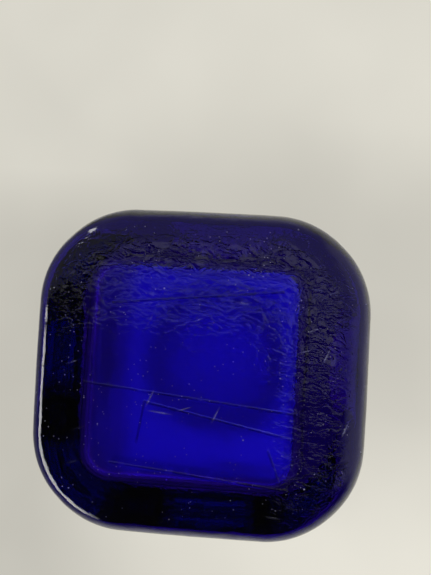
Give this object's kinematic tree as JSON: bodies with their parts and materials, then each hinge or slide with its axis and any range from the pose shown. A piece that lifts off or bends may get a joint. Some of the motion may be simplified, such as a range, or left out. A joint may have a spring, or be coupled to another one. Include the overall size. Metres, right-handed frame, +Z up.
{
  "type": "ink bottle",
  "caption": "Square cobalt-blue glass ink bottle with rounded corners, a thick base, a threaded neck and a ribbed white screw cap with a sealing liner.",
  "frame": {"origin": "middle of the flat base, on the surface that the bottle stands on", "axes": "+Z up through the neck and the cap; the body's 55 mm width lies along X and its 53.5 mm depth along Y"},
  "size_m": [0.055, 0.0536, 0.0609],
  "materials": {
    "cobalt_glass": "polished cobalt-blue soda-lime glass with a chill-wrinkled base",
    "cap_plastic": "off-white moulded polypropylene, satin",
    "pulp_board": "pressed pulp board",
    "liner_film": "white polyethylene film"
  },
  "bodies": {
    "bottle": {"glass_bottle": "cobalt_glass"},
    "liner": {"liner_backing": "pulp_board", "liner_facing": "liner_film"},
    "cap": {"cap_shell": "cap_plastic"}
  },
  "joints": [
    {"name": "cap_lift", "type": "slide", "parent": "bottle", "child": "liner", "axis": [0, 0, 1], "range_m": [0, 0.01265]},
    {"name": "cap_turn", "type": "hinge", "parent": "liner", "child": "cap", "pos_m": [0, 0, 0.0475], "axis": [0, 0, 1], "range_deg": [0, 1080]}
  ],
  "couplings": [
    {"joint": "cap_lift", "follows": "cap_turn", "m_per_rad": 0.00066845}
  ]
}
